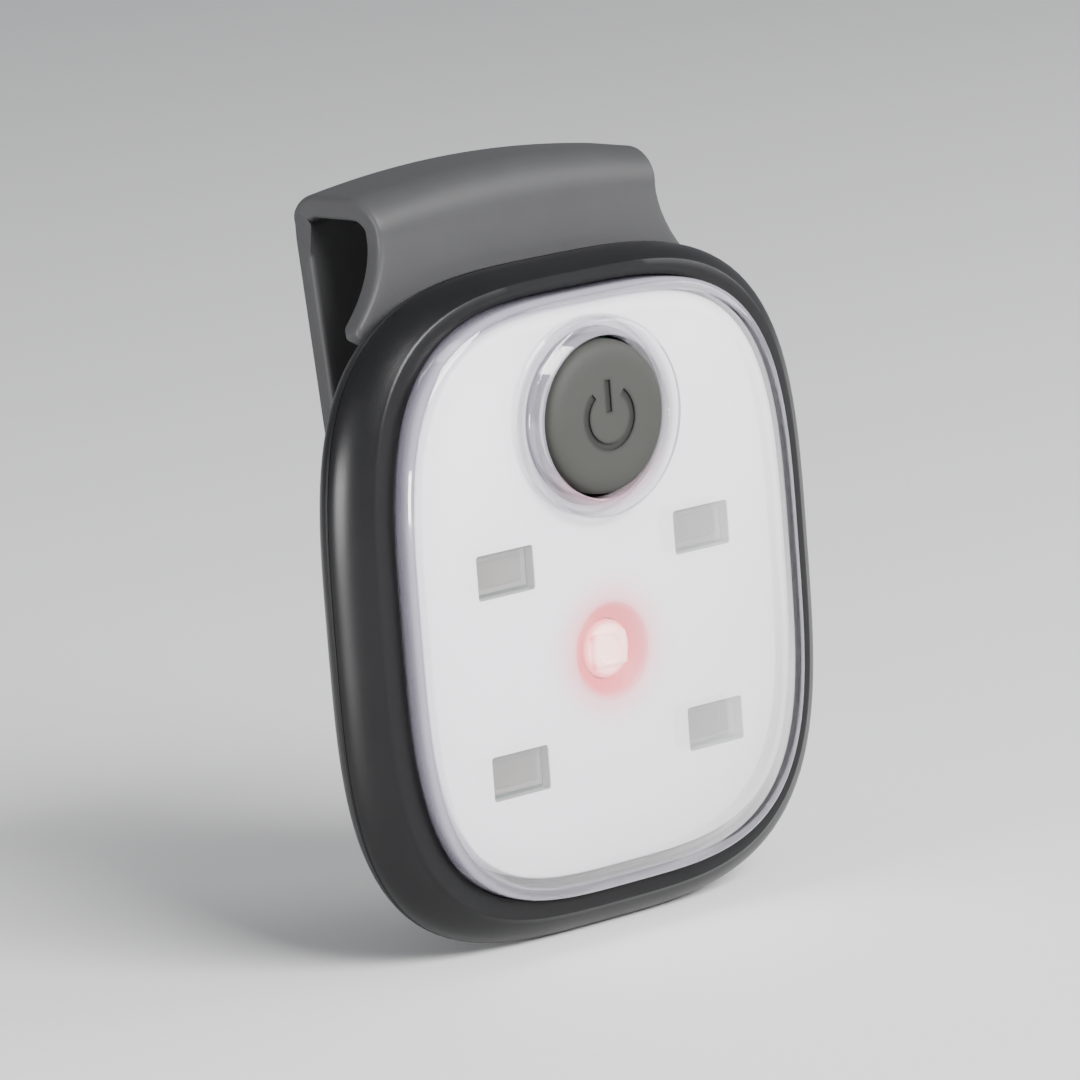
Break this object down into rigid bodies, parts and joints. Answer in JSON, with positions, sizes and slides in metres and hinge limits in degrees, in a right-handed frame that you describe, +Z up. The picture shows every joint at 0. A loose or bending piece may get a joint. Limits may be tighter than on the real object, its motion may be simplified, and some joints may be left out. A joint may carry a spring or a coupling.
{
  "type": "clip-on safety light",
  "caption": "Rounded-square clip-on LED safety light: clear lens over a white plate with LED windows, a round power button, and a bent clip that hooks over a hem or strap.",
  "frame": {"origin": "middle of the underside of the clip's roof, where the hem or strap it hangs on sits", "axes": "+Z up, +Y towards the wearer and out of the clip's flat back, -Y out of the lens, +X to the right as seen from the lit front"},
  "size_m": [0.0494, 0.0197, 0.0621],
  "materials": {
    "housing_plastic": "satin black moulded plastic",
    "clip_plastic": "fine-grained charcoal plastic",
    "clear_plastic": "polished clear plastic",
    "white_plastic": "smooth white",
    "silicone": "soft matt silicone",
    "seal_rubber": "matt black",
    "board": "green solder mask",
    "led_body": "matt cream with a pale yellow window",
    "red_led": "clear, lit red",
    "switch_plastic": "matt",
    "plunger_plastic": "matt",
    "chip": "matt black with tinned legs",
    "resistor": "matt black with tinned ends",
    "cell_steel": "bright nickel-plated",
    "contact_brass": "nickel-plated brass",
    "screw_steel": "zinc-plated"
  },
  "bodies": {
    "head": {"front_bezel": "housing_plastic", "lens": "clear_plastic", "lens_gasket": "seal_rubber", "reflector_plate": "white_plastic", "button_seal": "seal_rubber", "circuit_board": "board", "led_upper_left": "led_body", "led_upper_right": "led_body", "led_lower_left": "led_body", "led_lower_right": "led_body", "red_led": "red_led", "tact_switch": "switch_plastic", "control_chip": "chip", "chip_resistors": "resistor", "battery_holder": "switch_plastic", "coin_cell_front": "cell_steel", "coin_cell_rear": "cell_steel", "contact_positive": "contact_brass", "contact_negative": "contact_brass", "rear_shell": "housing_plastic", "housing_seal": "seal_rubber", "housing_screws": "screw_steel", "clip_bridge": "clip_plastic", "clip_screws": "screw_steel"},
    "button": {"power_button": "silicone"},
    "plunger": {"switch_plunger": "plunger_plastic"},
    "door": {"battery_door": "housing_plastic", "door_seal": "seal_rubber"},
    "arm": {"clip_arm": "clip_plastic", "clip_grip_pad": "seal_rubber"}
  },
  "joints": [
    {"name": "clip_flex", "type": "hinge", "parent": "head", "child": "arm", "pos_m": [0, 0.0034, -0.00285], "axis": [1, 0, 0], "range_deg": [0, 8], "stiffness_Nm_per_rad": 0.35, "springref_deg": -4.98},
    {"name": "button_press", "type": "slide", "parent": "head", "child": "button", "axis": [0, 1, 0], "range_m": [0, 0.0008], "stiffness_N_per_m": 500, "springref_m": -0.001},
    {"name": "plunger_travel", "type": "slide", "parent": "head", "child": "plunger", "axis": [0, 1, 0], "range_m": [0, 0.00025]},
    {"name": "battery_door_turn", "type": "hinge", "parent": "head", "child": "door", "pos_m": [0, -0.0009, -0.03585], "axis": [0, 1, 0], "range_deg": [0, 40]}
  ],
  "couplings": [
    {"joint": "plunger_travel", "follows": "button_press", "ratio": 0.3125}
  ]
}
